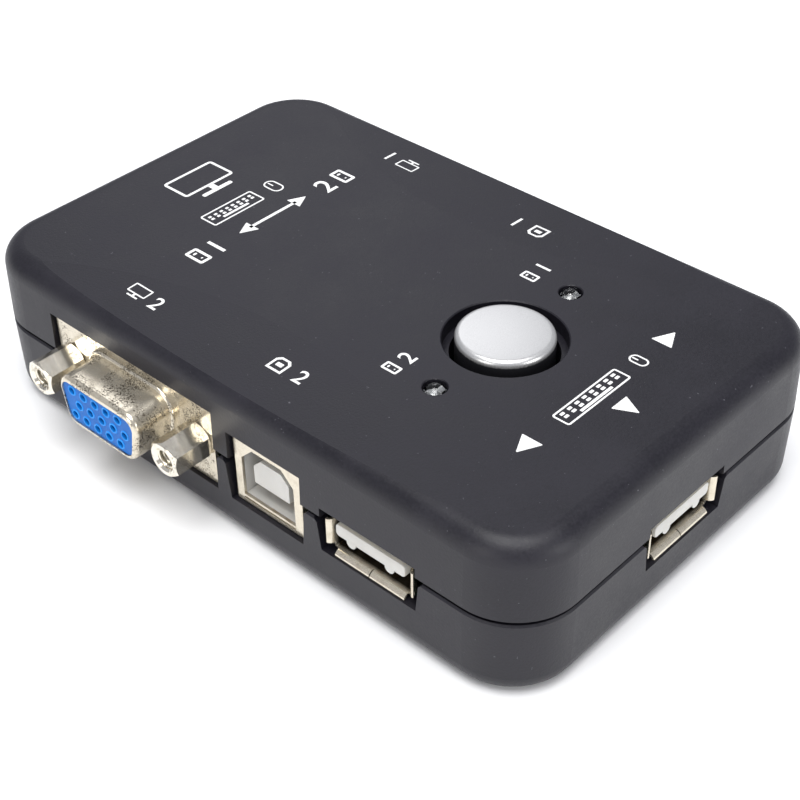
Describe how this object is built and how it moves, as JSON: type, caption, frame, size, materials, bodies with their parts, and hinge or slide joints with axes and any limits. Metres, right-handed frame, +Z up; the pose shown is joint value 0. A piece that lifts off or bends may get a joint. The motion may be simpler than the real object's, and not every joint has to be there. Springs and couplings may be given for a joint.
{
  "type": "kvm switch",
  "caption": "Small black desktop box that switches one monitor and shared USB devices between two computers with a round silver push button on its roof.",
  "frame": {"origin": "centre of the flat underside of the case", "axes": "+X to the right as the top is read, +Y along the case towards the monitor socket, +Z up"},
  "size_m": [0.0732, 0.1037, 0.0246],
  "materials": {
    "case_plastic": "fine matte texture",
    "board_laminate": "glossy solder mask",
    "screw_steel": "zinc plated",
    "nickel_plate": "nickel plated sheet",
    "blue_plastic": "satin moulding",
    "white_plastic": "satin moulding",
    "contact_gold": "gold flash",
    "clear_lens": "clear epoxy",
    "tin_plate": "tinned",
    "silver_button": "satin silver coating",
    "chip_black": "moulded epoxy",
    "plunger_plastic": "nylon",
    "can_aluminium": "sleeved can",
    "resistor_black": "glazed",
    "ceramic_tan": "fired ceramic"
  },
  "bodies": {
    "case": {"board_screws": "screw_steel", "capacitor_cans": "can_aluminium", "case_screws": "screw_steel", "ceramic_capacitors": "ceramic_tan", "crystal": "tin_plate", "hub_chip": "chip_black", "led_1_leads": "tin_plate", "led_1_lens": "clear_lens", "led_2_leads": "tin_plate", "led_2_lens": "clear_lens", "lower_shell": "case_plastic", "main_board": "board_laminate", "resistors": "resistor_black", "select_chip": "chip_black", "switch_base": "chip_black", "switch_cover": "tin_plate", "switch_dome": "tin_plate", "switch_leads": "tin_plate", "transistors": "chip_black", "upper_shell": "case_plastic", "usb_computer_1_contacts": "contact_gold", "usb_computer_1_insulator": "white_plastic", "usb_computer_1_shell": "nickel_plate", "usb_computer_2_contacts": "contact_gold", "usb_computer_2_insulator": "white_plastic", "usb_computer_2_shell": "nickel_plate", "usb_device_left_contacts": "contact_gold", "usb_device_left_insulator": "white_plastic", "usb_device_left_shell": "nickel_plate", "usb_device_near_contacts": "contact_gold", "usb_device_near_insulator": "white_plastic", "usb_device_near_shell": "nickel_plate", "usb_device_right_contacts": "contact_gold", "usb_device_right_insulator": "white_plastic", "usb_device_right_shell": "nickel_plate", "vga_computer_1_brackets": "nickel_plate", "vga_computer_1_contacts": "contact_gold", "vga_computer_1_insulator": "blue_plastic", "vga_computer_1_jackscrews": "nickel_plate", "vga_computer_1_shell": "nickel_plate", "vga_computer_2_brackets": "nickel_plate", "vga_computer_2_contacts": "contact_gold", "vga_computer_2_insulator": "blue_plastic", "vga_computer_2_jackscrews": "nickel_plate", "vga_computer_2_shell": "nickel_plate", "vga_monitor_brackets": "nickel_plate", "vga_monitor_contacts": "contact_gold", "vga_monitor_insulator": "blue_plastic", "vga_monitor_jackscrews": "nickel_plate", "vga_monitor_shell": "nickel_plate", "video_switch_chips": "chip_black"},
    "button": {"button_cap": "silver_button", "switch_plunger": "plunger_plastic"}
  },
  "joints": [
    {"name": "button_press", "type": "slide", "parent": "case", "child": "button", "axis": [0, 0, -1], "range_m": [0, 0.0005], "stiffness_N_per_m": 2400, "springref_m": -0.00025, "deforming": ["switch_dome"]}
  ]
}
